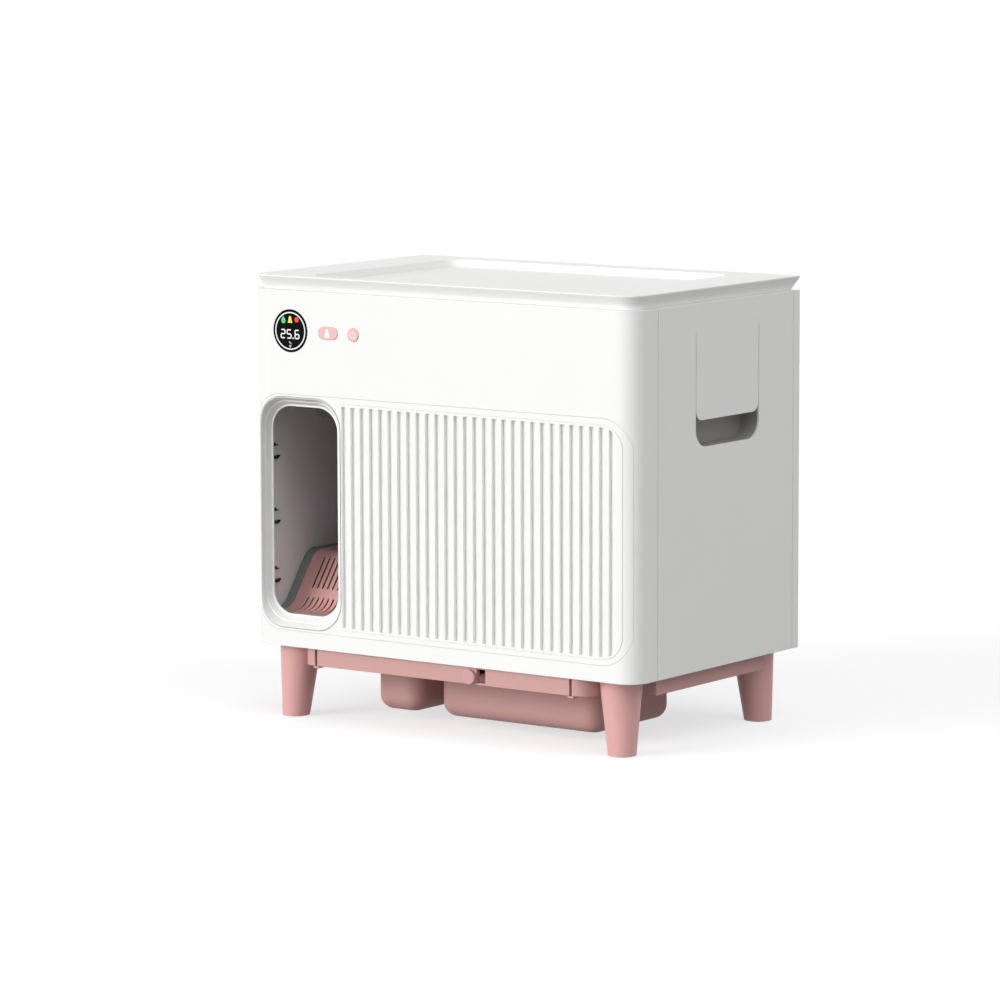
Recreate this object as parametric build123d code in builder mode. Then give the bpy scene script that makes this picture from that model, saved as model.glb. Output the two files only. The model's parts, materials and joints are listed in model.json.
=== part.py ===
"""Self-cleaning litter box: a cabinet on legs with a sifting drum inside.

Millimetres, +Z up, +X to the viewer's right, the front faces -Y. The origin lies on the
floor, under the middle of the cabinet.
"""
import os
from math import cos, radians, sin

from build123d import *

os.makedirs("parts", exist_ok=True)

# Fits between pieces
seam_gap = 0.8
seat_gap = 0.3
slip_gap = 0.15
shaft_gap = 0.05

# Cabinet
width = 720.0
depth = 448.0
body_bottom = 115.0
wall = 3.0
front_corner_r = 34.0
rear_corner_r = 4.0
front_return = 58.0
rear_return = 20.0
floor_thick = 6.0
top_frame_width = 26.0
top_frame_thick = 6.0
proud = 1.5

# Lid tray
lid_height = 22.0
lid_edge = 2.0
lid_edge_r = 0.8
lid_flare = 10.0
lid_skin = 3.0
plug_depth = 12.0
plug_gap = 1.0
recess_depth = 11.0
recess_slope = 4.0
recess_side = 95.0
recess_front = 25.0
recess_rear = 46.0
recess_r = 30.0
recess_edge_r = 6.0

# Front insert, with the ribbed panel and the entrance ring
insert_side = 10.0
insert_low = 25.0
insert_height = 367.3
insert_r = 50.0
panel_thick = 9.0
panel_flange = 5.0
rib_pitch = 17.68
rib_count = 29
groove_width = 8.8
groove_depth = 5.0
field_gap = 3.6
field_side = 14.5
field_low = 9.0
field_high = 10.4
field_edge = 3.4
field_line = 0.8
ring_thick = 4.0
ring_wall = 2.5
ring_edge = 1.2
ring_flange = 7.0
ring_depth = 25.0
ring_step = 0.57
ring_ledge = 1.5
ring_lip = 3.0
ring_lip_thick = 2.0
mouth_border = 7.0
mouth_width = 157.0
mouth_border_z = 5.4
mouth_taper_left = 9.0
mouth_taper_right = 22.0
mouth_taper_low = 17.0
mouth_taper_high = 15.9
mouth_r = 46.0
throat_r = 36.0

# Side panels with their carrying handles
handle_from_front = 158.5
handle_width = 172.5
handle_low = 336.5
pocket_height = 40.5
slit_drop = 43.0
slit = 1.2
tongue_r = 16.0
pocket_r = 28.0
cup_depth = 30.0
cup_rise = 124.0
cup_wall = 2.5

# Legs and base rails
leg_top_d = 65.0
leg_foot_d = 43.0
leg_side = 26.0
leg_front = 16.0
leg_rear = 8.0
leg_taper = 5.0
pad_height = 1.2
pad_d = 32.0
leg_bolt_r = 4.0
leg_bolt_length = 34.0
leg_bolt_head_r = 7.0
leg_bolt_head = 5.0
rail_height = 27.0
rail_thick = 12.0
rail_inset = 18.0
bar_inset = 6.0
rail_stub = 27.1
rail_end_r = 29.5

# Waste drawer
drawer_slot = 4.6
bar_thick = 8.0
drawer_plate = 3.0
drawer_drop = 12.0
drawer_back = 304.0
drawer_tab = 4.0
runner_thick = 3.0
runner_lip = 8.0
pad_reach = 3.0
notch_x = 67.0
notch_width = 16.0
notch_depth = 30.0
grip_r = 11.3
grip_reach = 7.0
grip_edge = 1.5
well_wall = 2.5
well_flange = 6.0
well_bottom = 15.0
well_front = 88.0
well_depth = 202.0
well_r = 26.0
well_edge_r = 22.0
well_side = 4.0
well_gap = 36.0
small_well_gap = 2.0
small_well_width = 86.0

# Ramp inside the entrance
foot_rise = 42.0
ramp_rise = 84.0
ramp_start = 32.0
foot_length = 42.0
ramp_run = 62.0
ramp_bend_r = 34.0
ramp_skin = 8.0
ramp_skirt = 3.0
ramp_border = 16.0
ramp_ledge = 4.0
grille_end = 215.0
grille_thick = 3.4
slat_pitch = 9.9
slat_count = 9
slat_slot = 3.2
slat_rows = ((38.0, 88.0), (96.0, 132.0), (146.0, 209.0))
slide_thick = 2.5
slide_drop = 24.0

# Sifting drum
partition_thick = 4.0
partition_step = 10.0
partition_front = 28.0
bulkhead_thick = 4.0
bulkhead_inset = 24.0
bulkhead_drop = 41.0
drum_clear = 46.0
drum_wall = 3.0
drum_shoulder = 38.0
drum_sill = 18.0
collar_length = 38.0
collar_wall = 3.0
collar_gap = 4.0
cap_thick = 4.0
cap_gap = 24.0
port_angle = 25.0
port_from_left = 110.0
port_from_right = 70.0
sieve_start = 27.0
sieve_end = 97.0
sieve_thick = 3.0
sieve_pitch = 14.0
sieve_slot = 7.0
track_width = 24.0
track_height = 4.0
track_from_left = 8.0
roller_r = 18.0
roller_width = 20.0
roller_angle = 38.0
pin_r = 4.0

# Drum drive
tooth_module = 4.0
ring_rise = 10.0
pinion_teeth = 14
gear_width = 16.0
pinion_angle = -40.0
shaft_r = 5.0
motor_r = 36.0
motor_length = 30.0
motor_screw_r = 2.0
motor_screw_circle = 29.0
axle_r = 12.0
bush_wall = 4.0
bush_flange = 3.0
axle_end = 5.0

# Waste hopper under the drum
hopper_gap = 6.0
hopper_wall = 2.5
hopper_flare_x = 52.0
hopper_flare_y = 28.0
outlet_border = 14.0

# Controls
display_from_left = 80.3
control_rise = 97.7
brow_height = 62.0
lens_r = 33.0
lens_proud = 0.4
module_r = 36.0
module_depth = 9.0
pill_from_left = 153.0
pill_width = 37.4
pill_height = 18.8
power_from_left = 201.4
power_r = 10.4
button_flange = 2.0
button_flange_thick = 1.5
button_travel = 1.5
stem_r = 4.0
switch_size = 12.0
switch_height = 1.4
board_thick = 1.6
board_border_x = 42.0
board_border_z = 38.0
boss_r = 3.5
board_screw_r = 1.5
board_screw_head_r = 3.0
board_screw_head = 2.0
clip_heights = (101.0, 193.0, 295.0)
clip_step = 20.0
clip_tab = ((0.0, 2.4), (7.6, 2.4), (7.6, -0.8), (14.4, -0.8), (14.4, -2.4), (0.0, -2.4))
clip_hook = ((0.0, 2.4), (7.2, 2.4), (7.2, -0.4), (9.6, -0.8), (15.2, 2.4), (18.8, 2.4))
clip_hook_under = ((18.8, 0.4), (13.0, -3.2), (9.0, -3.2), (0.0, -2.0))
clip_thick = 4.0
clip_from_front = 46.0

# Rear fittings
rear_screw_r = 1.5
rear_screw_head_r = 4.0
rear_screw_length = 14.0
rear_screw_inset = 80.0
rear_screw_mid = 95.0
inlet_from_right = 70.0
inlet_height = 60.0
inlet_flange_r = 9.0
inlet_body_r = 6.0
inlet_depth = 18.0
inlet_bore_r = 2.8
inlet_bore_depth = 10.0
inlet_pin_r = 1.0
cable_r = 2.2
cable_bend_r = 12.0

# Places worked out from the sizes above
half_w = width / 2
front_y = -depth / 2
rear_y = depth / 2
floor_top = body_bottom + floor_thick
insert_z = (body_bottom + insert_low, body_bottom + insert_low + insert_height)
control_z = insert_z[1] + control_rise
body_top = control_z + brow_height
insert_x = (insert_side - half_w, half_w - insert_side)
mouth_x = (insert_x[0] + mouth_border, insert_x[0] + mouth_border + mouth_width)
mouth_z = (insert_z[0] + mouth_border_z, insert_z[1] - mouth_border_z)
throat_x = (mouth_x[0] + mouth_taper_left, mouth_x[1] - mouth_taper_right)
throat_z = (mouth_z[0] + mouth_taper_low, mouth_z[1] - mouth_taper_high)
partition_x = mouth_x[1] - partition_step
partition_right = partition_x + partition_thick
bulkhead_right = half_w - wall - cup_depth - 2 * cup_wall - partition_thick
bulkhead_x = bulkhead_right - bulkhead_thick
bulkhead_half = rear_y - bulkhead_inset
drum_r = rear_y - drum_clear
drum_mouth_r = drum_r - drum_shoulder
port_half = drum_r * sin(radians(port_angle))
ring_teeth = round(2 * (drum_r + ring_rise) / tooth_module)
foot_z = floor_top + foot_rise
landing_z = foot_z + ramp_rise
axis_z = landing_z + drum_sill + drum_mouth_r
drum_left = partition_right + collar_gap + collar_length
drum_right = bulkhead_x - cap_gap
ring_pitch_r = tooth_module * ring_teeth / 2
pinion_pitch_r = tooth_module * pinion_teeth / 2
addendum = 0.9 * tooth_module
dedendum = 1.1 * tooth_module
gear_reach = ring_pitch_r + pinion_pitch_r
pinion_y = gear_reach * cos(radians(pinion_angle))
pinion_z = axis_z + gear_reach * sin(radians(pinion_angle))
track_r = drum_r + track_height
roller_reach = track_r + roller_r + seat_gap
roller_x = drum_left + track_from_left + track_width / 2
hopper_top = axis_z - ring_pitch_r - addendum - hopper_gap
display_x = display_from_left - half_w
pill_x = pill_from_left - half_w
power_x = power_from_left - half_w
board_y = front_y + wall + module_depth
bar_low = body_bottom - rail_height
plate_low = body_bottom - drawer_drop - drawer_plate
bar_y = front_y + bar_inset
leg_x = half_w - leg_side - leg_top_d - seat_gap
leg_y = (front_y + leg_front + leg_top_d + seat_gap, rear_y - leg_rear - leg_top_d - seat_gap)
stub_x = leg_x - rail_stub
drawer_half = stub_x - drawer_slot
well_y = (front_y + well_front, front_y + well_front + well_depth)
small_well = (partition_right + small_well_gap, partition_right + small_well_gap + small_well_width)
large_well = (small_well[1] + well_gap, drawer_half - well_side)
inlet_x = half_w - inlet_from_right
inlet_z = body_bottom + inlet_height
rear_screw_x = [side * x for side in (-1, 1) for x in (rear_screw_mid, half_w - rear_screw_inset)]
rear_screw_z = (body_bottom + floor_thick / 2, body_top - top_frame_thick / 2)


def keep(piece, name):
    """Label a finished piece and write its STEP file."""
    piece.part.label = name
    export_step(piece.part, f"parts/{name}.step")


def block(x, y, z, mode=Mode.ADD):
    """Add a block between two limits on each axis."""
    with Locations(((x[0] + x[1]) / 2, (y[0] + y[1]) / 2, (z[0] + z[1]) / 2)):
        Box(abs(x[1] - x[0]), abs(y[1] - y[0]), abs(z[1] - z[0]), mode=mode)


def plan_outline(inset, z):
    """Sketch the cabinet's outline, seen from above and drawn in by inset."""
    with BuildSketch(Plane.XY.offset(z)) as outline:
        Rectangle(width - 2 * inset, depth - 2 * inset)
        fillet(outline.vertices().group_by(Axis.Y)[0], max(front_corner_r - inset, 4.0))
        fillet(outline.vertices().group_by(Axis.Y)[-1], max(rear_corner_r - inset, 4.0))
    return outline.sketch


def cabinet_prism(inset, low, high, mode=Mode.ADD):
    """Push the cabinet's outline up from one height to another."""
    extrude(plan_outline(inset, low), amount=high - low, mode=mode)


def front_prism(x, z, radius, y, mode=Mode.ADD):
    """Push a rounded rectangle, seen from the front, from one depth to another."""
    extrude(front_sketch(x, z, radius, y[0]), amount=y[0] - y[1], mode=mode)


def leg_circles(diameter, inset):
    """Return the four places of a circle that keeps the legs' gaps, drawn in by inset."""
    drawn_in = inset + diameter / 2
    rows = (front_y + leg_front + drawn_in, rear_y - leg_rear - drawn_in)
    return [(side * (half_w - leg_side - drawn_in), y) for side in (-1, 1) for y in rows]


def grown(limits, amount):
    """Move both limits outwards by an amount."""
    return (limits[0] - amount, limits[1] + amount)


def between(first, last, share):
    """Return the limits that lie a share of the way from the first to the last."""
    return tuple(near + share * (far - near) for near, far in zip(first, last))


def front_sketch(x, z, radius, y):
    """Sketch a rounded rectangle that faces the front, at one depth."""
    with BuildSketch(Plane.XZ.offset(-y)) as outline:
        with Locations((sum(x) / 2, sum(z) / 2)):
            RectangleRounded(x[1] - x[0], z[1] - z[0], radius)
    return outline.sketch


def funnel(front, front_at, back, back_at):
    """Add the solid that runs from one rounded rectangle to another behind it."""
    loft([front_sketch(*front, front_at).face(), front_sketch(*back, back_at).face()])


def rod(start, end, radius, mode=Mode.ADD, axis="X", at=(0.0, 0.0)):
    """Add a round bar along an axis, between two limits on it."""
    planes = {"X": Plane.YZ, "Y": Plane.XZ, "Z": Plane.XY}
    sign = -1 if axis == "Y" else 1
    with BuildSketch(planes[axis].offset(sign * start)) as section:
        with Locations(at):
            Circle(radius)
    extrude(section.sketch, amount=sign * (end - start), mode=mode)


# Front shell, with its return round both corners and the bosses for the board
board_x = (display_x - board_border_x, power_x + board_border_x)
board_z = grown((control_z, control_z), board_border_z)
boss_inset = 2 * boss_r
boss_places = [(x, z) for x in grown(board_x, -boss_inset) for z in grown(board_z, -boss_inset)]
with BuildPart() as front_shell:
    cabinet_prism(0, body_bottom, body_top)
    cabinet_prism(wall, body_bottom, body_top, Mode.SUBTRACT)
    block((-width, width), (front_y + front_return, depth), (0, 2 * body_top), Mode.SUBTRACT)
    front_prism(insert_x, insert_z, insert_r, (front_y - 1, front_y + front_return / 2), Mode.SUBTRACT)
    shell_cut = (front_y + 2 * wall, front_y - 1)
    rod(*shell_cut, lens_r + slip_gap, Mode.SUBTRACT, "Y", (display_x, control_z))
    rod(*shell_cut, power_r + seat_gap, Mode.SUBTRACT, "Y", (power_x, control_z))
    front_prism(
        grown((pill_x - pill_width / 2, pill_x + pill_width / 2), seat_gap),
        grown((control_z - pill_height / 2, control_z + pill_height / 2), seat_gap),
        pill_height / 2,
        (front_y - 1, front_y + 2 * wall),
        Mode.SUBTRACT,
    )
    for place in boss_places:
        rod(board_y, front_y + wall / 2, boss_r, Mode.ADD, "Y", place)
        rod(board_y + 1, front_y + 2 * wall, board_screw_r + shaft_gap, Mode.SUBTRACT, "Y", place)
keep(front_shell, "front_shell")

# Ribbed front panel, which carries on round both corners and holds the entrance ring
insert_y = (front_y - 1, front_y + front_return / 2)
field_x = (mouth_x[1] + field_gap, insert_x[1] - field_side)
field_z = (insert_z[0] + field_low, insert_z[1] - field_high)
field_r = insert_r - field_side
panel_hole = ring_edge + seat_gap
line_x = (mouth_x[0], field_x[1])
line_y = (front_y - 1, front_y + groove_depth)
with BuildPart() as panel_face:
    cabinet_prism(0, body_bottom, body_top)
    cabinet_prism(panel_thick, body_bottom, body_top, Mode.SUBTRACT)
    face_limits = (grown(insert_x, -seat_gap), grown(insert_z, -seat_gap), insert_r - seat_gap)
    front_prism(*face_limits, insert_y, Mode.INTERSECT)

with BuildPart() as field_cut:
    front_prism(grown(line_x, field_line), grown(field_z, field_line), field_r + field_line, line_y)
    front_prism(line_x, field_z, field_r, line_y, Mode.SUBTRACT)
    cabinet_prism(field_line, body_bottom, body_top, Mode.SUBTRACT)
    block((-width, mouth_x[1] + field_gap / 2), (-depth, depth), (0, 2 * body_top), Mode.SUBTRACT)

with BuildPart() as ribbed_panel:
    cabinet_prism(wall, body_bottom, body_top)
    cabinet_prism(panel_thick, body_bottom, body_top, Mode.SUBTRACT)
    flange_limits = (grown(insert_x, panel_flange), grown(insert_z, panel_flange), insert_r + panel_flange)
    front_prism(*flange_limits, insert_y, Mode.INTERSECT)
    add(panel_face.part)
    hole_limits = (grown(mouth_x, panel_hole), grown(mouth_z, panel_hole), mouth_r + panel_hole)
    front_prism(*hole_limits, insert_y, Mode.SUBTRACT)
    add(field_cut.part, mode=Mode.SUBTRACT)
    with BuildSketch(Plane.XZ.offset(-front_y)):
        for rib in range(rib_count):
            with Locations((field_x[0] + groove_width / 2 + rib * rib_pitch, sum(field_z) / 2)):
                Rectangle(groove_width, insert_height)
        rib_limits = (grown(line_x, -field_edge), grown(field_z, -field_edge), field_r - field_edge)
        add(front_sketch(*rib_limits, front_y), mode=Mode.INTERSECT)
    extrude(amount=-groove_depth, mode=Mode.SUBTRACT)
keep(ribbed_panel, "ribbed_panel")

# Entrance ring: a stepped funnel with a lip, on a flange behind the panel
lip_x = grown(throat_x, ring_lip)
lip_z = grown(throat_z, ring_lip)
lip_r = throat_r + ring_lip
lip_y = front_y + ring_depth - ring_lip_thick
step_x = between(mouth_x, lip_x, ring_step)
step_z = between(mouth_z, lip_z, ring_step)
step_r = mouth_r + ring_step * (lip_r - mouth_r)
step_y = front_y + ring_step * (lip_y - front_y)
step_outer = (grown(step_x, ring_ledge), grown(step_z, ring_ledge), step_r + ring_ledge)
skin_front = (grown(mouth_x, ring_edge), grown(mouth_z, ring_edge), mouth_r + ring_edge)
skin_back = (grown(lip_x, ring_wall), grown(lip_z, ring_wall), lip_r + ring_wall)
with BuildPart() as ring_skin:
    funnel(skin_front, insert_y[0], skin_back, front_y + ring_depth)
    cabinet_prism(0, body_bottom, body_top, Mode.INTERSECT)

with BuildPart() as ring_hollow:
    funnel((mouth_x, mouth_z, mouth_r), insert_y[0], step_outer, step_y)
    funnel((step_x, step_z, step_r), step_y, (lip_x, lip_z, lip_r), lip_y)
    front_prism(throat_x, throat_z, throat_r, (step_y, front_y + 2 * ring_depth))

with BuildPart() as entrance_ring:
    cabinet_prism(panel_thick, body_bottom, body_top)
    cabinet_prism(panel_thick + ring_thick, body_bottom, body_top, Mode.SUBTRACT)
    ring_limits = (grown(mouth_x, ring_flange), grown(mouth_z, ring_flange), mouth_r + ring_flange)
    front_prism(*ring_limits, insert_y, Mode.INTERSECT)
    add(ring_skin.part)
    add(ring_hollow.part, mode=Mode.SUBTRACT)
keep(entrance_ring, "entrance_ring")

# Side panels, each with a tongue over its hand pocket, and the cup behind it
handle_y = (front_y + handle_from_front, front_y + handle_from_front + handle_width)
handle_z = body_bottom + handle_low
tongue_z = handle_z + pocket_height
slit_z = body_top - slit_drop
for side, sign in (("left", -1), ("right", 1)):
    face_x = sign * half_w
    inner_x = sign * (half_w - wall)
    back_x = sign * (half_w - wall - cup_depth)
    with BuildPart() as side_panel:
        block(
            (face_x, inner_x),
            (front_y + front_return + seam_gap, rear_y - rear_return - seam_gap),
            (body_bottom, body_top),
        )
        with BuildSketch(Plane.YZ.offset(min(face_x, inner_x))) as pocket:
            with Locations((sum(handle_y) / 2, (handle_z + slit_z) / 2)):
                Rectangle(handle_width, slit_z - handle_z)
            fillet(pocket.vertices().group_by(Axis.Y)[0], pocket_r)
            with Locations((sum(handle_y) / 2, tongue_z + slit_z / 2)):
                RectangleRounded(handle_width - 2 * slit, slit_z, tongue_r, mode=Mode.SUBTRACT)
        extrude(amount=wall, mode=Mode.SUBTRACT)
    keep(side_panel, f"side_panel_{side}")
    with BuildPart() as handle_cup:
        for skin, depth_skin, mode in ((cup_wall, cup_wall, Mode.ADD), (0.0, 0.0, Mode.SUBTRACT)):
            with BuildSketch(Plane.YZ.offset(inner_x)) as cup:
                with Locations((sum(handle_y) / 2, handle_z + cup_rise / 2)):
                    RectangleRounded(handle_width + 2 * skin, cup_rise + 2 * skin, pocket_r + skin)
            extrude(amount=-sign * (cup_depth + depth_skin), mode=mode)
    keep(handle_cup, f"handle_cup_{side}")

# Rear panel, with its return round both rear corners
with BuildPart() as rear_panel:
    cabinet_prism(0, body_bottom, body_top)
    cabinet_prism(wall, body_bottom, body_top, Mode.SUBTRACT)
    block((-width, width), (-depth, rear_y - rear_return), (0, 2 * body_top), Mode.SUBTRACT)
    rod(rear_y + 1, rear_y - 2 * wall, inlet_body_r + slip_gap, Mode.SUBTRACT, "Y", (inlet_x, inlet_z))
    for z in rear_screw_z:
        for x in rear_screw_x:
            rod(rear_y + 1, rear_y - 2 * wall, rear_screw_r + slip_gap, Mode.SUBTRACT, "Y", (x, z))
keep(rear_panel, "rear_panel")

# Cabinet floor, open over both wells of the drawer
outlet_x = grown(large_well, -outlet_border)
outlet_y = grown(well_y, -outlet_border)
spill_x = (max(small_well[0] + outlet_border / 2, partition_right), small_well[1] - outlet_border / 2)
leg_places = leg_circles(leg_top_d, 0.0)
with BuildPart() as cabinet_floor:
    cabinet_prism(wall + seat_gap, body_bottom, floor_top)
    block(outlet_x, outlet_y, (0, body_top), Mode.SUBTRACT)
    block(spill_x, outlet_y, (0, body_top), Mode.SUBTRACT)
    for place in leg_places:
        rod(0, body_top, leg_bolt_r + slip_gap, Mode.SUBTRACT, "Z", place)
    for x in rear_screw_x:
        screw_place = (x, rear_screw_z[0])
        rod(rear_y, rear_y - rear_screw_length, rear_screw_r + shaft_gap, Mode.SUBTRACT, "Y", screw_place)
keep(cabinet_floor, "cabinet_floor")

# Top frame, the ledge that the lid rests on
with BuildPart() as top_frame:
    cabinet_prism(wall + seat_gap, body_top - top_frame_thick, body_top)
    cabinet_prism(wall + top_frame_width, body_top - top_frame_thick, body_top, Mode.SUBTRACT)
    for x in rear_screw_x:
        screw_place = (x, rear_screw_z[1])
        rod(rear_y, rear_y - rear_screw_length, rear_screw_r + shaft_gap, Mode.SUBTRACT, "Y", screw_place)
keep(top_frame, "top_frame")

# Lid: a shallow tray whose side flares out to the cabinet's outline
lid_low = body_top + seat_gap
lid_top = body_top + lid_height
plug_inset = wall + top_frame_width + plug_gap
recess_y = (front_y + recess_front, rear_y - recess_rear)
recess_floor = lid_top - recess_depth
recess_forms = []
for skin in (lid_skin, 0.0):
    with BuildPart() as recess_form:
        for slope, z in ((recess_slope, recess_floor - skin), (0.0, lid_top)):
            with BuildSketch(Plane.XY.offset(z)):
                with Locations((0, sum(recess_y) / 2)):
                    RectangleRounded(
                        width - 2 * (recess_side + slope - skin),
                        recess_y[1] - recess_y[0] - 2 * (slope - skin),
                        recess_r - slope + skin,
                    )
        loft()
        fillet(recess_form.edges().group_by(Axis.Z)[0], recess_edge_r + skin)
    recess_forms.append(recess_form.part)

with BuildPart() as lid_tray:
    loft([plan_outline(lid_flare, lid_low).face(), plan_outline(0, lid_top - lid_edge).face()])
    cabinet_prism(0, lid_top - lid_edge, lid_top)
    cabinet_prism(plug_inset, body_top - plug_depth, lid_low)
    cabinet_prism(plug_inset + lid_skin, body_top - plug_depth, lid_top - lid_skin, Mode.SUBTRACT)
    add(recess_forms[0])
    add(recess_forms[1], mode=Mode.SUBTRACT)
    fillet(lid_tray.edges().group_by(Axis.Z)[-1], lid_edge_r)
keep(lid_tray, "lid_tray")

# Legs on rubber pads, bolted through the floor, and the rails between them
leg_names = ["leg_front_left", "leg_rear_left", "leg_front_right", "leg_rear_right"]
foot_places = leg_circles(leg_foot_d, leg_taper)
for name, top_place, foot_place in zip(leg_names, leg_places, foot_places):
    with BuildPart() as leg:
        with BuildSketch(Plane.XY.offset(pad_height)):
            with Locations(foot_place):
                Circle(leg_foot_d / 2)
        with BuildSketch(Plane.XY.offset(body_bottom)):
            with Locations(top_place):
                Circle(leg_top_d / 2)
        loft()
        rod(body_bottom - leg_bolt_length, body_top, leg_bolt_r + shaft_gap, Mode.SUBTRACT, "Z", top_place)
    keep(leg, name)

with BuildPart() as foot_pads:
    for place in foot_places:
        rod(0, pad_height, pad_d / 2, Mode.ADD, "Z", place)
keep(foot_pads, "foot_pads")

with BuildPart() as leg_bolts:
    for place in leg_places:
        rod(body_bottom - leg_bolt_length + slip_gap, floor_top, leg_bolt_r, Mode.ADD, "Z", place)
        rod(floor_top, floor_top + leg_bolt_head, leg_bolt_head_r, Mode.ADD, "Z", place)
keep(leg_bolts, "leg_bolts")

rail_z = (bar_low, body_bottom)
rail_x = (half_w - rail_inset - rail_thick, half_w - rail_inset)
for side, sign in (("left", -1), ("right", 1)):
    bend_centre = (sign * stub_x, bar_y + rail_end_r)
    with BuildPart() as front_rail:
        rod(*rail_z, rail_end_r, Mode.ADD, "Z", bend_centre)
        rod(*rail_z, rail_end_r - rail_thick, Mode.SUBTRACT, "Z", bend_centre)
        quarter = (sign * stub_x, sign * (stub_x + rail_end_r))
        block(quarter, (bar_y, bar_y + rail_end_r), rail_z, Mode.INTERSECT)
    keep(front_rail, f"front_rail_{side}")
    with BuildPart() as side_rail:
        block((sign * rail_x[0], sign * rail_x[1]), leg_y, rail_z)
    keep(side_rail, f"side_rail_{side}")
with BuildPart() as rear_rail:
    rear_rail_y = (rear_y - rail_inset - rail_thick, rear_y - rail_inset)
    block((-leg_x, leg_x), rear_rail_y, rail_z)
keep(rear_rail, "rear_rail")

# Waste drawer on its runners, with two wells hanging in it
plate_y = (bar_y + bar_thick, front_y + drawer_back)
plate_half = drawer_half + drawer_tab
with BuildPart() as drawer_frame:
    block((-plate_half, plate_half), plate_y, (plate_low, plate_low + drawer_plate))
    block((-drawer_half, drawer_half), (bar_y, bar_y + bar_thick), (bar_low, body_bottom - seat_gap))
    notch = ((notch_x, notch_x + notch_width), (bar_y - 1, bar_y + notch_depth), grown(rail_z, -wall))
    block(*notch, Mode.SUBTRACT)
    for well in (large_well, small_well):
        block(grown(well, seat_gap), grown(well_y, seat_gap), (0, body_bottom), Mode.SUBTRACT)
keep(drawer_frame, "drawer_frame")

with BuildPart() as drawer_grip:
    rod(bar_y, bar_y - grip_reach, grip_r, Mode.ADD, "Y", (notch_x - grip_r, bar_low + grip_r))
    fillet(drawer_grip.edges().group_by(Axis.Y)[0], grip_edge)
keep(drawer_grip, "drawer_grip")

well_top = plate_low + drawer_plate
for name, well in (("waste_well", large_well), ("spill_well", small_well)):
    with BuildPart() as well_bin:
        with BuildSketch(Plane.XY.offset(well_bottom)):
            with Locations((sum(well) / 2, sum(well_y) / 2)):
                RectangleRounded(well[1] - well[0], well_y[1] - well_y[0], well_r)
        extrude(amount=well_top - well_bottom)
        fillet(well_bin.edges().group_by(Axis.Z)[0], well_edge_r)
        offset(amount=-well_wall, openings=well_bin.faces().sort_by(Axis.Z)[-1])
        with BuildSketch(Plane.XY.offset(well_top)):
            with Locations((sum(well) / 2, sum(well_y) / 2)):
                RectangleRounded(
                    well[1] - well[0] + 2 * well_flange, well_y[1] - well_y[0] + 2 * well_flange, well_r
                )
                RectangleRounded(
                    well[1] - well[0] - 2 * well_wall,
                    well_y[1] - well_y[0] - 2 * well_wall,
                    well_r - well_wall,
                    mode=Mode.SUBTRACT,
                )
        extrude(amount=well_wall)
    keep(well_bin, name)

runner_x = (plate_half - drawer_tab + seat_gap, plate_half + seat_gap + runner_thick)
web_x = (plate_half + seat_gap, runner_x[1])
runner_y = (bar_y + rail_thick + seat_gap, plate_y[1])
pad_y = (bar_y + slip_gap, runner_y[0] + runner_lip)
pad_z = (bar_low - seat_gap - runner_thick, bar_low - seat_gap)
with BuildPart() as drawer_runners:
    for sign in (-1, 1):
        ends = (sign * runner_x[0], sign * runner_x[1])
        web = (sign * web_x[0], sign * web_x[1])
        block(web, runner_y, (plate_low - seat_gap - runner_thick, body_bottom))
        block(ends, runner_y, (plate_low - seat_gap - runner_thick, plate_low - seat_gap))
        block(web, (runner_y[0], pad_y[1]), (pad_z[0], body_bottom))
        block((sign * (drawer_half - pad_reach), web[1]), pad_y, pad_z)
keep(drawer_runners, "drawer_runners")

# Partition between the passage and the drum chamber
slide_y = (front_y + ramp_start + foot_length / 2, front_y + grille_end)
slide_exit_y = (well_y[0] + outlet_border, slide_y[1])
with BuildPart() as partition_wall:
    partition_y = (front_y + partition_front, rear_y - wall - seat_gap)
    block((partition_x, partition_right), partition_y, (floor_top, axis_z + drum_r))
    partition_cut = (partition_x - 1, partition_right + 1)
    rod(*partition_cut, drum_mouth_r + 2 * collar_wall + collar_gap, Mode.SUBTRACT, at=(0, axis_z))
    block(partition_cut, grown(slide_exit_y, seat_gap), (0, floor_top + slide_drop), Mode.SUBTRACT)
    for turn in (-roller_angle, roller_angle):
        roller_place = (roller_reach * sin(radians(turn)), axis_z - roller_reach * cos(radians(turn)))
        rod(*partition_cut, pin_r + shaft_gap, Mode.SUBTRACT, at=roller_place)
keep(partition_wall, "partition_wall")


# Ramp: a frame on two skirts, with a slatted grille resting on its ledge
ramp_x = (wall + 2 * seat_gap - half_w, partition_x - seat_gap)
ramp_y = (front_y + ramp_start, rear_y - wall - 2 * seat_gap)
window_x = grown(ramp_x, -ramp_border)


def ramp_band(x, y, drop_high, drop_low, mode=Mode.ADD):
    """Add the layer of the ramp's surface between two drops under it, drop_low None for the floor."""
    bends = [(ramp_y[0] + foot_length, foot_z), (ramp_y[0] + foot_length + ramp_run, landing_z)]
    surface = [(ramp_y[0], foot_z)] + bends + [(ramp_y[1], landing_z)]
    under = [(across, up - (drop_low or 0)) for across, up in reversed(surface)]
    if drop_low is None:
        under = [(ramp_y[1], floor_top), (ramp_y[0], floor_top)]
    with BuildSketch(Plane.YZ.offset(x[0])) as layer:
        with BuildLine():
            Polyline(*[(across, up - drop_high) for across, up in surface], *under, close=True)
        make_face()
        slope_end = ramp_y[0] + foot_length + ramp_run
        fillet(layer.vertices().filter_by_position(Axis.X, ramp_y[0] + 1, slope_end + 1), ramp_bend_r)
        with Locations((sum(y) / 2, landing_z)):
            Rectangle(y[1] - y[0], 4 * landing_z, mode=Mode.INTERSECT)
    extrude(layer.sketch, amount=x[1] - x[0], mode=mode)


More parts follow.
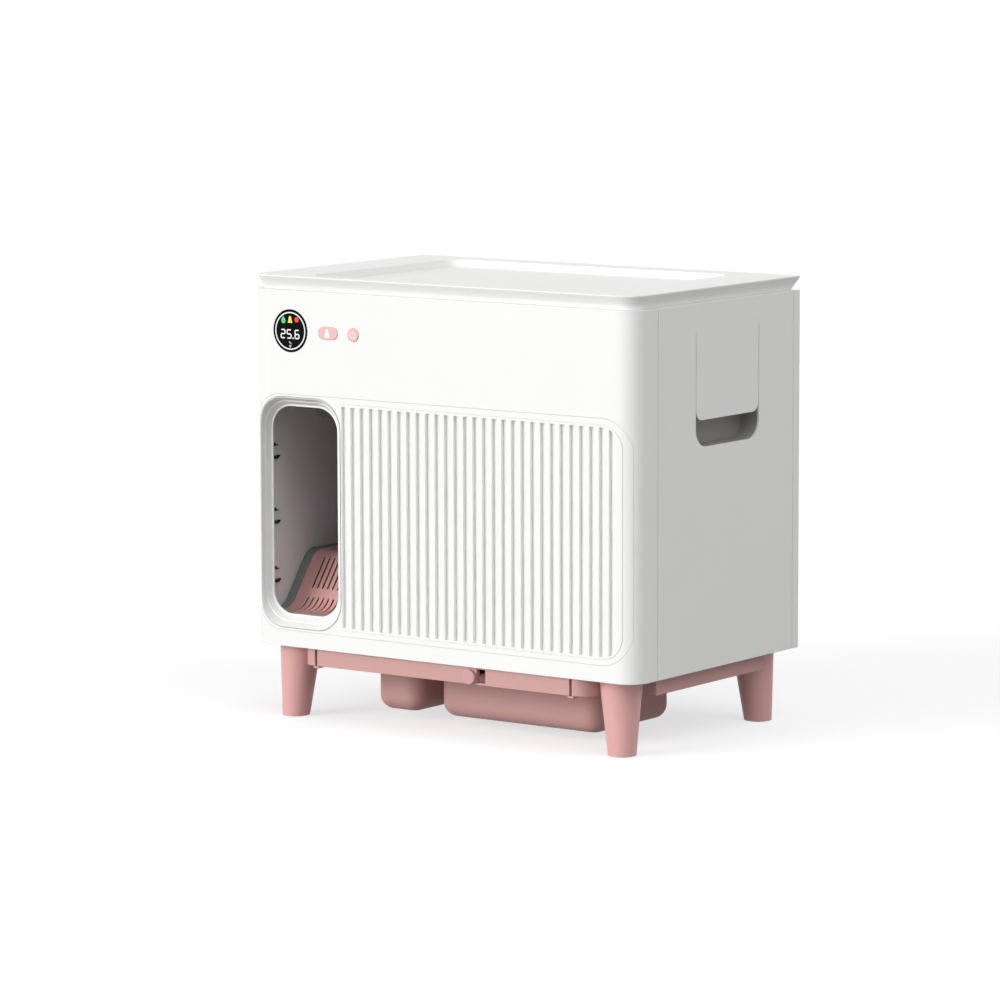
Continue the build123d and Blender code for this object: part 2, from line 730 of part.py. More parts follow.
grille_y = (ramp_y[0] + ramp_ledge, front_y + grille_end)
with BuildPart() as ramp_frame:
    ramp_band(ramp_x, ramp_y, 0, ramp_skin)
    ramp_band((ramp_x[0], ramp_x[0] + ramp_skirt), ramp_y, 0, None)
    ramp_band((ramp_x[1] - ramp_skirt, ramp_x[1]), ramp_y, 0, None)
    ramp_band(window_x, grille_y, -ramp_skin, ramp_ledge, Mode.SUBTRACT)
    opening = (grown(window_x, -ramp_ledge), grown(grille_y, -ramp_ledge))
    ramp_band(*opening, -ramp_skin, 2 * ramp_skin, Mode.SUBTRACT)
    skirt_x = (ramp_x[1] - 2 * ramp_skirt, ramp_x[1] + 1)
    block(skirt_x, slide_exit_y, (0, floor_top + slide_drop), Mode.SUBTRACT)
    cabinet_prism(wall + seat_gap, floor_top, body_top, Mode.INTERSECT)
keep(ramp_frame, "ramp_frame")

with BuildPart() as ramp_grille:
    grille_limits = (grown(window_x, -seat_gap), grown(grille_y, -seat_gap))
    ramp_band(*grille_limits, ramp_ledge - grille_thick - seat_gap, ramp_ledge - seat_gap)
    for row in slat_rows:
        with BuildSketch(Plane.XY.offset(foot_z - ramp_skin)):
            with Locations((sum(window_x) / 2, front_y + sum(row) / 2)):
                with GridLocations(slat_pitch, 1, slat_count, 1):
                    RectangleRounded(slat_slot, row[1] - row[0], slat_slot / 2 - slip_gap)
        extrude(amount=2 * ramp_rise, mode=Mode.SUBTRACT)
keep(ramp_grille, "ramp_grille")

# Slide that leads litter from under the grille to the small well
slide_x = (ramp_x[0] + ramp_skirt + seat_gap, partition_right + seat_gap)
with BuildPart() as litter_slide:
    with BuildSketch(Plane.XZ.offset(-slide_y[1])):
        with BuildLine():
            slide_high = floor_top + slide_drop + slide_thick
            Polyline(
                (slide_x[0], floor_top),
                (slide_x[0], slide_high),
                (slide_x[1], floor_top + slide_thick),
                (slide_x[1], floor_top),
                close=True,
            )
        make_face()
    extrude(amount=slide_y[1] - slide_y[0])
    with BuildSketch(Plane.XY.offset(floor_top)):
        with BuildLine():
            Polyline(
                (slide_x[0], slide_y[0]),
                (ramp_x[1] - ramp_skirt - seat_gap, slide_exit_y[0] + seat_gap),
                (slide_x[1], slide_exit_y[0] + seat_gap),
                (slide_x[1], slide_exit_y[1] - seat_gap),
                (slide_x[0], slide_exit_y[1] - seat_gap),
                close=True,
            )
        make_face()
    extrude(amount=slide_drop + slide_thick, mode=Mode.INTERSECT)
    block((slide_x[0] + slide_thick, partition_x - 2 * slide_thick), slide_y, (0, floor_top), Mode.SUBTRACT)
keep(litter_slide, "litter_slide")

# Sifting drum
with BuildPart() as drum_shell:
    rod(drum_left, drum_right, drum_r, at=(0, axis_z))
    rod(drum_left, drum_right, drum_r - drum_wall, Mode.SUBTRACT, at=(0, axis_z))
    port_x = (drum_left + port_from_left, drum_right - port_from_right)
    block(port_x, (-port_half, port_half), (axis_z, axis_z + 2 * drum_r), Mode.SUBTRACT)
keep(drum_shell, "drum_shell")

with BuildPart() as drum_entry_cap:
    rod(drum_left - cap_thick, drum_left, drum_r, at=(0, axis_z))
    rod(drum_left - 2 * cap_thick, drum_left + 1, drum_mouth_r, Mode.SUBTRACT, at=(0, axis_z))
keep(drum_entry_cap, "drum_entry_cap")

with BuildPart() as drum_collar:
    rod(drum_left - collar_length, drum_left - cap_thick, drum_mouth_r + collar_wall, at=(0, axis_z))
    rod(drum_left - 2 * collar_length, drum_left, drum_mouth_r, Mode.SUBTRACT, at=(0, axis_z))
keep(drum_collar, "drum_collar")

with BuildPart() as drum_end_cap:
    rod(drum_right, drum_right + cap_thick, drum_r, at=(0, axis_z))
    rod(drum_right, drum_right + 2 * cap_thick, 2 * axle_r, at=(0, axis_z))
    rod(drum_right - 1, drum_right + 3 * cap_thick, axle_r, Mode.SUBTRACT, at=(0, axis_z))
keep(drum_end_cap, "drum_end_cap")

with BuildPart() as drum_track:
    track_x = (drum_left + track_from_left, drum_left + track_from_left + track_width)
    rod(*track_x, track_r, at=(0, axis_z))
    rod(*track_x, drum_r, Mode.SUBTRACT, at=(0, axis_z))
keep(drum_track, "drum_track")

with BuildPart() as drum_axle:
    rod(drum_right, bulkhead_right + axle_end, axle_r, at=(0, axis_z))
keep(drum_axle, "drum_axle")

# Sieve: a slotted chord plate beside the waste port
sieve_r = drum_r - drum_wall - seat_gap
sieve_mid = (sieve_start + sieve_end) / 2
sieve_half = (sieve_end - sieve_start) / 2
sieve_reach = sieve_r * cos(radians(sieve_half)) - sieve_thick
sieve_width = 2 * sieve_r * sin(radians(sieve_half))
sieve_across = sin(radians(sieve_mid))
sieve_up = cos(radians(sieve_mid))
sieve_plane = Plane(
    origin=((drum_left + drum_right) / 2, sieve_reach * sieve_across, axis_z + sieve_reach * sieve_up),
    x_dir=(1, 0, 0),
    z_dir=(0, sieve_across, sieve_up),
)
with BuildPart() as drum_sieve:
    with BuildSketch(sieve_plane):
        Rectangle(drum_right - drum_left, sieve_width)
        with GridLocations(sieve_pitch, 1, int((drum_right - drum_left) / sieve_pitch) - 1, 1):
            slot_length = sieve_width - 2 * sieve_pitch
            RectangleRounded(sieve_slot, slot_length, sieve_slot / 2 - slip_gap, mode=Mode.SUBTRACT)
    extrude(amount=sieve_thick)
    rod(drum_left, drum_right, sieve_r, Mode.INTERSECT, at=(0, axis_z))
keep(drum_sieve, "drum_sieve")


def gear_outline(teeth, centre, first_tooth):
    """Return the corner points of a spur gear's outline, seen along X."""
    pitch_r = tooth_module * teeth / 2
    step = 360.0 / teeth
    corners = ((-0.30, -dedendum), (-0.13, addendum), (0.13, addendum), (0.30, -dedendum))
    points = []
    for tooth in range(teeth):
        for share, rise in corners:
            turn = radians(first_tooth + (tooth + share) * step)
            reach = pitch_r + rise
            points.append((centre[0] + reach * cos(turn), centre[1] + reach * sin(turn)))
    return points


gear_x = (drum_right - gear_width, drum_right)
with BuildPart() as ring_gear:
    with BuildSketch(Plane.YZ.offset(gear_x[0])):
        with BuildLine():
            Polyline(*gear_outline(ring_teeth, (0, axis_z), pinion_angle), close=True)
        make_face()
        with Locations((0, axis_z)):
            Circle(drum_r, mode=Mode.SUBTRACT)
    extrude(amount=gear_width)
keep(ring_gear, "ring_gear")

pinion_place = (pinion_y, pinion_z)
with BuildPart() as drive_pinion:
    with BuildSketch(Plane.YZ.offset(gear_x[0])):
        with BuildLine():
            pinion_turn = pinion_angle + 180 + 180 / pinion_teeth
            Polyline(*gear_outline(pinion_teeth, pinion_place, pinion_turn), close=True)
        make_face()
        with Locations(pinion_place):
            Circle(shaft_r, mode=Mode.SUBTRACT)
    extrude(amount=gear_width)
keep(drive_pinion, "drive_pinion")

motor_x = (bulkhead_right, bulkhead_right + motor_length)
shaft_end = motor_x[1] - 2 * axle_end
with BuildPart() as motor_shaft:
    rod(gear_x[0], shaft_end, shaft_r, at=pinion_place)
keep(motor_shaft, "motor_shaft")

motor_screws_at = [
    (
        pinion_y + motor_screw_circle * cos(radians(turn)),
        pinion_z + motor_screw_circle * sin(radians(turn)),
    )
    for turn in (30, 150, 270)
]
with BuildPart() as gear_motor:
    rod(*motor_x, motor_r, at=pinion_place)
    fillet(gear_motor.edges().group_by(Axis.X)[-1], 2 * wall)
    rod(motor_x[0] - 1, shaft_end + slip_gap, shaft_r + shaft_gap, Mode.SUBTRACT, at=pinion_place)
    for place in motor_screws_at:
        screw_x = (motor_x[0] - 1, motor_x[0] + motor_length / 3)
        rod(*screw_x, motor_screw_r + shaft_gap, Mode.SUBTRACT, at=place)
keep(gear_motor, "gear_motor")

with BuildPart() as motor_screws:
    for place in motor_screws_at:
        rod(bulkhead_x - motor_screw_r, bulkhead_x, 2 * motor_screw_r, at=place)
        rod(bulkhead_x, motor_x[0] + motor_length / 3 - slip_gap, motor_screw_r, at=place)
keep(motor_screws, "motor_screws")

bush_r = axle_r + shaft_gap + bush_wall
with BuildPart() as drive_bulkhead:
    bulkhead_z = (floor_top, body_top - bulkhead_drop)
    block((bulkhead_x, bulkhead_right), (-bulkhead_half, bulkhead_half), bulkhead_z)
    rod(bulkhead_x - 1, bulkhead_right + 1, bush_r, Mode.SUBTRACT, at=(0, axis_z))
    rod(bulkhead_x - 1, bulkhead_right + 1, shaft_r + seat_gap, Mode.SUBTRACT, at=pinion_place)
    for place in motor_screws_at:
        rod(bulkhead_x - 1, bulkhead_right + 1, motor_screw_r + slip_gap, Mode.SUBTRACT, at=place)
keep(drive_bulkhead, "drive_bulkhead")

with BuildPart() as axle_bush:
    rod(bulkhead_x - bush_flange, bulkhead_x, bush_r + bush_flange, at=(0, axis_z))
    rod(bulkhead_x, bulkhead_right, bush_r, at=(0, axis_z))
    rod(bulkhead_x - 2 * bush_flange, bulkhead_right + 1, axle_r + shaft_gap, Mode.SUBTRACT, at=(0, axis_z))
keep(axle_bush, "axle_bush")

# Support rollers on pins that stand out of the partition
roller_span = (roller_x - roller_width / 2, roller_x + roller_width / 2)
for side, turn in (("front", -roller_angle), ("rear", roller_angle)):
    roller_place = (roller_reach * sin(radians(turn)), axis_z - roller_reach * cos(radians(turn)))
    with BuildPart() as roller:
        rod(*roller_span, roller_r, at=roller_place)
        fillet(roller.edges(), slip_gap * 10)
        rod(roller_span[0] - 1, roller_span[1] + 1, pin_r + shaft_gap, Mode.SUBTRACT, at=roller_place)
    keep(roller, f"roller_{side}")

with BuildPart() as roller_pins:
    for turn in (-roller_angle, roller_angle):
        roller_place = (roller_reach * sin(radians(turn)), axis_z - roller_reach * cos(radians(turn)))
        rod(partition_x, roller_span[1] + seat_gap, pin_r, at=roller_place)
        rod(roller_span[1] + seat_gap, roller_span[1] + seat_gap + wall, 2 * pin_r, at=roller_place)
keep(roller_pins, "roller_pins")

# Waste hopper between the drum and the large well
with BuildPart() as waste_hopper:
    for skin, mode in ((hopper_wall, Mode.ADD), (0.0, Mode.SUBTRACT)):
        for flare_x, flare_y, z in ((0, 0, floor_top), (hopper_flare_x, hopper_flare_y, hopper_top)):
            with BuildSketch(Plane.XY.offset(z)):
                with Locations((sum(outlet_x) / 2, sum(outlet_y) / 2 + flare_y)):
                    Rectangle(
                        outlet_x[1] - outlet_x[0] + 2 * (skin + flare_x),
                        outlet_y[1] - outlet_y[0] + 2 * (skin + flare_y),
                    )
        loft(mode=mode)
keep(waste_hopper, "waste_hopper")

# Display and buttons in the front shell, with the board behind them
with BuildPart() as display_lens:
    rod(front_y + wall, front_y - lens_proud, lens_r, Mode.ADD, "Y", (display_x, control_z))
    fillet(display_lens.edges().group_by(Axis.Y)[0], lens_proud)
keep(display_lens, "display_lens")

with BuildPart() as display_module:
    rod(board_y, front_y + wall, module_r, Mode.ADD, "Y", (display_x, control_z))
keep(display_module, "display_module")

flange_y = (front_y + wall + slip_gap, front_y + wall + slip_gap + button_flange_thick)
stem_end = board_y - switch_height - button_travel - slip_gap
with BuildPart() as clean_button:
    pill_limits = (pill_x - pill_width / 2, pill_x + pill_width / 2)
    pill_z = (control_z - pill_height / 2, control_z + pill_height / 2)
    front_prism(pill_limits, pill_z, pill_height / 2 - shaft_gap, (front_y - proud, flange_y[1]))
    fillet(clean_button.edges().group_by(Axis.Y)[0], proud / 2)
    front_prism(grown(pill_limits, button_flange), grown(pill_z, button_flange), pill_height / 2, flange_y)
    rod(stem_end, flange_y[1], stem_r, Mode.ADD, "Y", (pill_x, control_z))
keep(clean_button, "clean_button")

with BuildPart() as power_button:
    rod(flange_y[1], front_y - proud, power_r, Mode.ADD, "Y", (power_x, control_z))
    fillet(power_button.edges().group_by(Axis.Y)[0], proud / 2)
    rod(flange_y[1], flange_y[0], power_r + button_flange, Mode.ADD, "Y", (power_x, control_z))
    rod(stem_end, flange_y[1], stem_r, Mode.ADD, "Y", (power_x, control_z))
keep(power_button, "power_button")

with BuildPart() as button_switches:
    for x in (pill_x, power_x):
        block(
            (x - switch_size / 2, x + switch_size / 2),
            (board_y - switch_height, board_y),
            (control_z - switch_size / 2, control_z + switch_size / 2),
        )
keep(button_switches, "button_switches")

with BuildPart() as control_board:
    block(board_x, (board_y, board_y + board_thick), board_z)
    for place in boss_places:
        rod(board_y + 2 * board_thick, board_y - 1, board_screw_r + slip_gap, Mode.SUBTRACT, "Y", place)
keep(control_board, "control_board")

with BuildPart() as board_screws:
    for place in boss_places:
        rod(board_y + board_thick, front_y + 2 * wall + slip_gap, board_screw_r, Mode.ADD, "Y", place)
        screw_head_y = board_y + board_thick + board_screw_head
        rod(screw_head_y, board_y + board_thick, board_screw_head_r, Mode.ADD, "Y", place)
keep(board_screws, "board_screws")

# Snap clips across the seams between the front shell and the side panels
clip_outlines = ((clip_tab, clip_step / 2), (clip_hook + clip_hook_under, -clip_step / 2))
with BuildPart() as panel_clips:
    for sign in (-1, 1):
        inner_x = sign * (half_w - wall)
        for height in clip_heights:
            for outline, step in clip_outlines:
                with BuildSketch(Plane.YZ.offset(inner_x)):
                    with Locations((front_y + clip_from_front, body_bottom + height + step)):
                        Polygon(*outline, align=None)
                extrude(amount=-sign * clip_thick)
keep(panel_clips, "panel_clips")

# Rear fittings: screws, power inlet and the cable to the motor
with BuildPart() as rear_screws:
    for z in rear_screw_z:
        for x in rear_screw_x:
            rod(rear_y + proud, rear_y, rear_screw_head_r, Mode.ADD, "Y", (x, z))
            rod(rear_y, rear_y - rear_screw_length + slip_gap, rear_screw_r, Mode.ADD, "Y", (x, z))
keep(rear_screws, "rear_screws")

with BuildPart() as power_inlet:
    inlet_place = (inlet_x, inlet_z)
    rod(rear_y + proud, rear_y, inlet_flange_r, Mode.ADD, "Y", inlet_place)
    rod(rear_y, rear_y - inlet_depth, inlet_body_r, Mode.ADD, "Y", inlet_place)
    bore_end = rear_y + proud - inlet_bore_depth
    rod(rear_y + 2 * proud, bore_end, inlet_bore_r, Mode.SUBTRACT, "Y", inlet_place)
    rod(rear_y, bore_end, inlet_pin_r, Mode.ADD, "Y", inlet_place)
keep(power_inlet, "power_inlet")

cable_x = (board_x[1] - 2 * cable_bend_r, (bulkhead_right + half_w - wall) / 2)
cable_y = board_y + board_thick + 2 * cable_bend_r
cable_z = body_top - plug_depth - 2 * cable_r - wall
motor_top = pinion_z + motor_r
with BuildPart() as motor_cable:
    with BuildLine() as cable_route:
        FilletPolyline(
            (cable_x[0], board_y + board_thick + shaft_gap, control_z),
            (cable_x[0], cable_y, control_z),
            (cable_x[0], cable_y, cable_z),
            (cable_x[1], cable_y, cable_z),
            (cable_x[1], cable_y, motor_top + 3 * cable_bend_r),
            (cable_x[1], pinion_y, motor_top + 3 * cable_bend_r),
            (cable_x[1], pinion_y, motor_top + shaft_gap),
            radius=cable_bend_r,
        )
    with BuildSketch(Plane(origin=cable_route.line @ 0, z_dir=cable_route.line % 0)):
        Circle(cable_r)
    sweep()
keep(motor_cable, "motor_cable")
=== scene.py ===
"""Looks of a self-cleaning litter box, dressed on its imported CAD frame.

Lengths are in metres, apart from names that end in _mm and classes that say otherwise. The CAD
nodes keep their shapes and get their finishes from the record's material slots. The marks on the
display and on the buttons, and the rear screws with their recesses, are modelled here.
"""

import json
import logging
import math
from abc import ABC, abstractmethod
from dataclasses import dataclass
from enum import Enum
from typing import Any

import bmesh
import bpy
from mathutils import Matrix, Vector

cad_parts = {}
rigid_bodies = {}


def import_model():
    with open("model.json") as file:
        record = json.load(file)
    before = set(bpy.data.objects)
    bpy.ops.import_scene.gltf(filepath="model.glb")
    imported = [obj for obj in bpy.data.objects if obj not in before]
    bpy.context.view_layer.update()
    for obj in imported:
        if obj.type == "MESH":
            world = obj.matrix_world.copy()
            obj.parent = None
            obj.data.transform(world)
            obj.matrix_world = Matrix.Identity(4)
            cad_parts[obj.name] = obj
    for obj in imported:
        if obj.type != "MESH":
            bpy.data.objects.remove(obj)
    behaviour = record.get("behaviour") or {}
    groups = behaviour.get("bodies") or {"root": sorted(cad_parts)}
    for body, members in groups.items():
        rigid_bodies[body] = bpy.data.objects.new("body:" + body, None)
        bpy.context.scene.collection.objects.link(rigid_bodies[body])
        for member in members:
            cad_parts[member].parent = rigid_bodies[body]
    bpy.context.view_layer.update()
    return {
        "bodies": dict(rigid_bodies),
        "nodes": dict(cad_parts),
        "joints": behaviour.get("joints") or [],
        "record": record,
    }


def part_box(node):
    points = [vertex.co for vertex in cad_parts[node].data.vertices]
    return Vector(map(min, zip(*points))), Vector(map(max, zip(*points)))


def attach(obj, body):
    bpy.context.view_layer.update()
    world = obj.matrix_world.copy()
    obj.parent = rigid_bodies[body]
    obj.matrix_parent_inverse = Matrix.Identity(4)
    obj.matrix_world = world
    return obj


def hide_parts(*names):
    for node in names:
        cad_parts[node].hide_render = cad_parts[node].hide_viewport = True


LOG = logging.getLogger("litter_box")
MM = 0.001
WHITE = "#FFFFFF"
# Samples of the shader that rounds edges.
EDGE_SAMPLES = 4
# A Mix node's colour sockets go by number, because its other kinds have the same names.
MIX_FACTOR, MIX_FROM, MIX_TO, MIX_RESULT = 0, 6, 7, 2
# A grid's size is half of its side, so this one is a unit square.
UNIT_SQUARE = 0.5
# The bevel profile of a circle's arc.
ARC = 0.5

Outline = tuple[tuple[float, float], ...]
Socket = bpy.types.NodeSocket


def linear(colour: str) -> tuple[float, float, float, float]:
    """Turn an sRGB hex colour into the linear colour that a shader takes, by the standard's curve.

    Args:
        colour: The colour as "#RRGGBB".

    Returns:
        Red, green, blue and an alpha of 1.
    """
    parts = [int(colour[at : at + 2], 16) / 255 for at in (1, 3, 5)]
    red, green, blue = (
        part / 12.92 if part <= 0.04045 else ((part + 0.055) / 1.055) ** 2.4 for part in parts
    )
    return (red, green, blue, 1.0)


def add_node(
    tree: bpy.types.NodeTree,
    kind: str,
    settings: dict[Any, Any] | None = None,
    links: dict[Any, Socket] | None = None,
) -> bpy.types.Node:
    """Add one shader node with its settings and its links.

    Args:
        tree: The node tree that takes it.
        kind: The node's type name.
        settings: Values by input name or number, or by the node's own property name.
        links: Output sockets by the input that each one feeds.

    Returns:
        The new node.
    """
    node = tree.nodes.new(kind)
    for name, value in (settings or {}).items():
        if isinstance(name, str) and hasattr(node, name):
            setattr(node, name, value)
        else:
            node.inputs[name].default_value = value
    for name, socket in (links or {}).items():
        tree.links.new(socket, node.inputs[name])
    return node


def per_mm(size_mm: float) -> float:
    """Return the texture scale whose pattern repeats about once in a size."""
    return 1 / (size_mm * MM)


def new_material(name: str) -> tuple[bpy.types.Material, bpy.types.NodeTree]:
    """Start a material with an empty node tree.

    Args:
        name: The material's name.

    Returns:
        The material and its tree.
    """
    material = bpy.data.materials.new(name)
    material.use_nodes = True
    material.node_tree.nodes.clear()
    return material, material.node_tree


def close_material(tree: bpy.types.NodeTree, shader: bpy.types.Node) -> None:
    """Feed a shader into the tree's output."""
    add_node(tree, "ShaderNodeOutputMaterial", links={"Surface": shader.outputs[0]})


@dataclass(frozen=True)
class Surface(ABC):
    """A material with two close tones and a soft pattern that runs between them.

    Its gloss drifts with the same pattern, and its edges are rounded so that they catch the light.
    """

    name: str
    pale: str
    deep: str
    roughness: float
    spread: float = 0.05
    pattern_mm: float = 140.0
    detail: float = 3.0
    edge_mm: float = 0.8

    def build(self) -> bpy.types.Material:
        """Make the material and return it."""
        material, tree = new_material(self.name)
        place = add_node(tree, "ShaderNodeTexCoord").outputs["Object"]
        close_material(tree, self.shade(tree, place))
        return material

    @abstractmethod
    def shade(self, tree: bpy.types.NodeTree, place: Socket) -> bpy.types.Node:
        """Add the surface's own shader.

        Args:
            tree: The material's node tree.
            place: Where each point is on its object.

        Returns:
            The shader.
        """

    def mottle(self, tree: bpy.types.NodeTree, place: Socket) -> tuple[Socket, Socket]:
        """Run the two tones through the pattern.

        Args:
            tree: The material's node tree.
            place: Where each point is on its object.

        Returns:
            The pattern and the colour.
        """
        soft = {"Scale": per_mm(self.pattern_mm), "Detail": self.detail}
        pattern = add_node(tree, "ShaderNodeTexNoise", soft, {"Vector": place}).outputs["Fac"]
        tones = {"data_type": "RGBA", MIX_FROM: linear(self.deep), MIX_TO: linear(self.pale)}
        mix = add_node(tree, "ShaderNodeMix", tones, {MIX_FACTOR: pattern})
        return pattern, mix.outputs[MIX_RESULT]

    def coat(self, tree: bpy.types.NodeTree, place: Socket) -> dict[str, Socket]:
        """Make the colour, the gloss and the rounded edges.

        Args:
            tree: The material's node tree.
            place: Where each point is on its object.

        Returns:
            Sockets by the shader input that each one feeds.
        """
        pattern, colour = self.mottle(tree, place)
        ends = {"To Min": self.roughness - self.spread, "To Max": self.roughness + self.spread}
        gloss = add_node(tree, "ShaderNodeMapRange", ends, {"Value": pattern}).outputs[0]
        rounding = {"samples": EDGE_SAMPLES, "Radius": self.edge_mm * MM}
        edge = add_node(tree, "ShaderNodeBevel", rounding).outputs["Normal"]
        return {"Base Color": colour, "Roughness": gloss, "Normal": edge}


@dataclass(frozen=True)
class Moulded(Surface):
    """A plastic moulding: one tone all through, with a satin skin from the tool.

    The tool's texture is a fraction of a millimetre, so grain_mm draws it coarse enough to show.
    """

    ior: float = 1.53
    grain_mm: float = 2.4
    grain_detail: float = 2.0
    grain_depth_mm: float = 0.02
    grain_strength: float = 0.35

    def shade(self, tree: bpy.types.NodeTree, place: Socket) -> bpy.types.Node:
        """Return the shader, with the tool's grain over the rounded edges."""
        coat = self.coat(tree, place)
        fine = {"Scale": per_mm(self.grain_mm), "Detail": self.grain_detail}
        grain = add_node(tree, "ShaderNodeTexNoise", fine, {"Vector": place}).outputs["Fac"]
        relief = {"Strength": self.grain_strength, "Distance": self.grain_depth_mm * MM}
        under = {"Height": grain, "Normal": coat["Normal"]}
        coat["Normal"] = add_node(tree, "ShaderNodeBump", relief, under).outputs["Normal"]
        return add_node(tree, "ShaderNodeBsdfPrincipled", {"IOR": self.ior}, coat)


@dataclass(frozen=True)
class Plated(Surface):
    """A metal: bright, with the faint streaks of rolled, drawn or turned stock."""

    spread: float = 0.08
    pattern_mm: float = 1.2
    edge_mm: float = 0.4
    streak: tuple[float, float, float] = (1.0, 1.0, 0.08)

    def shade(self, tree: bpy.types.NodeTree, place: Socket) -> bpy.types.Node:
        """Return the shader, with its pattern drawn out along Z."""
        drawn = add_node(tree, "ShaderNodeMapping", {"Scale": self.streak}, {"Vector": place})
        coat = self.coat(tree, drawn.outputs[0])
        return add_node(tree, "ShaderNodeBsdfPrincipled", {"Metallic": 1.0}, coat)


@dataclass(frozen=True)
class Window(Surface):
    """A tinted acrylic window: almost black, with an anti-glare coat that cuts its mirror image."""

    roughness: float = 0.09
    spread: float = 0.03
    pattern_mm: float = 18.0
    detail: float = 4.0
    edge_mm: float = 0.3
    ior: float = 1.16

    def shade(self, tree: bpy.types.NodeTree, place: Socket) -> bpy.types.Node:
        """Return the shader, with the coat's low IOR."""
        coat = self.coat(tree, place)
        return add_node(tree, "ShaderNodeBsdfPrincipled", {"IOR": self.ior}, coat)


@dataclass(frozen=True)
class Lit(Surface):
    """A lit display mark: an almost even glow through a printed mask."""

    roughness: float = 0.2
    pattern_mm: float = 5.0
    detail: float = 1.0
    strength: float = 1.0
    mask: str = "#101010"

    def shade(self, tree: bpy.types.NodeTree, place: Socket) -> bpy.types.Node:
        """Return the shader, dark by itself and lit by the two tones."""
        _, glow = self.mottle(tree, place)
        look = {
            "Base Color": linear(self.mask),
            "Roughness": self.roughness,
            "Emission Strength": self.strength,
        }
        return add_node(tree, "ShaderNodeBsdfPrincipled", look, {"Emission Color": glow})


class Finish(Enum):
    """The finishes of the record's material slots, by slot name, and the base's pink with painted
    shade.
    """

    # Injection-moulded ABS, lightly textured: a clean, even white with soft highlights.
    white_abs = Moulded("moulded_white_abs", "#F6F6F5", "#F2F2F1", 0.55)
    # Moulded polypropylene: duller and waxier than ABS, in a neutral grey.
    grey_pp = Moulded("moulded_grey_polypropylene", "#A5A2A0", "#9B9896", 0.5, ior=1.49)
    # The same resin in a dark green-grey.
    slate_pp = Moulded("moulded_slate_polypropylene", "#8B9492", "#808987", 0.5, ior=1.49)
    # Moulded ABS, coloured through in a warm pink, satin.
    pink_abs = Moulded("moulded_pink_abs", "#E5AFAB", "#DFA8A4", 0.4)
    # The same ABS, darker in tone as painted shade under the cabinet, and duller and more coarsely
    # grained.
    pink_etched = Moulded(
        "pink_abs_painted_shade", "#D0A19D", "#C89995", 0.6, grain_mm=3.0, grain_depth_mm=0.06
    )
    # Polished ABS keys in the same pink.
    button_abs = Moulded(
        "polished_pink_abs", "#F3C4C0", "#EDB9B5", 0.25, grain_depth_mm=0.005, edge_mm=0.5
    )
    # Polished and coated acrylic: a deep, even black.
    black_glass = Window("tinted_acrylic", "#0B0B0C", "#050506")
    # Moulded nylon: black, with a dry skin.
    black_pa = Moulded("moulded_black_nylon", "#262626", "#1C1C1C", 0.55, edge_mm=0.4)
    # Natural acetal: a milky off-white, slick.
    gear_pom = Moulded("moulded_acetal", "#E9E6DC", "#E0DCD1", 0.33, ior=1.48, edge_mm=0.3)
    # Glass-epoxy board under a green solder mask.
    board_fr4 = Moulded(
        "solder_masked_laminate", "#1F6B3A", "#175530", 0.35, pattern_mm=4.0, edge_mm=0.2
    )
    # Turned steel under zinc: a bright, cool grey.
    steel = Plated("zinc_plated_steel", "#C9CBCD", "#B3B6B9", 0.34)
    # Deep-drawn steel: a darker, duller grey.
    motor_can = Plated("drawn_steel_can", "#8E9093", "#7C7F82", 0.42)
    # Moulded rubber: near black and matt.
    rubber = Moulded(
        "moulded_rubber", "#2B2B2B", "#222222", 0.75, ior=1.52, grain_mm=1.6, edge_mm=0.5
    )


class Mark(Enum):
    """The finishes of the marks on the display and the buttons."""

    # Diodes behind a diffuser: clear, flat colour.
    white_led = Lit("white_display_light", "#FFFFFF", "#F2F4F6")
    green_led = Lit("green_display_light", "#6CF59A", "#3FDF73")
    yellow_led = Lit("yellow_display_light", "#FFF86A", "#EFE63C")
    red_led = Lit("red_display_light", "#F2383F", "#E0242C")
    dim_led = Lit("dim_display_light", "#C9CBCC", "#B4B6B8")
    # Pad-printed ink: flat white with a soft sheen.
    ink = Moulded("pad_printed_white_ink", "#FAF9F8", "#F4F2F1", 0.5, grain_mm=0.8, edge_mm=0.1)


class Palette:
    """Makes each finish once and hands it out."""

    def __init__(self) -> None:
        """Start with no materials made."""
        self._made: dict[Enum, bpy.types.Material] = {}

    def get(self, finish: Enum) -> bpy.types.Material:
        """Return the material of a finish."""
        if finish not in self._made:
            self._made[finish] = finish.value.build()
        return self._made[finish]


def thicken(mesh: bmesh.types.BMesh, depth: float) -> None:
    """Give flat faces in the XY plane a thickness towards +Z and turn all faces outwards.

    Args:
        mesh: The mesh to change.
        depth: The thickness.
    """
    bmesh.ops.recalc_face_normals(mesh, faces=mesh.faces[:])
    for face in [face for face in mesh.faces if face.normal.z < 0]:
        face.normal_flip()
    bmesh.ops.solidify(mesh, geom=mesh.faces[:], thickness=-depth)
    bmesh.ops.recalc_face_normals(mesh, faces=mesh.faces[:])


def add_outline(mesh: bmesh.types.BMesh, points: Outline) -> None:
    """Add one flat face from the corners of its outline.

    Args:
        mesh: The mesh that takes it.
        points: The corners in the XY plane, in millimetres.
    """
    mesh.faces.new([mesh.verts.new((x * MM, y * MM, 0.0)) for x, y in points])


def add_bar(mesh: bmesh.types.BMesh, x: float, y: float, width: float, height: float) -> None:
    """Add one flat rectangle in the XY plane.

    Args:
        mesh: The mesh that takes it.
        x: Its middle along X, in millimetres.
        y: Its middle along Y, in millimetres.
        width: Its side along X, in millimetres.
        height: Its side along Y, in millimetres.
    """
    size = Matrix.Diagonal((width * MM, height * MM, 1.0, 1.0))
    place = Matrix.Translation((x * MM, y * MM, 0.0)) @ size
    bmesh.ops.create_grid(mesh, x_segments=1, y_segments=1, size=UNIT_SQUARE, matrix=place)


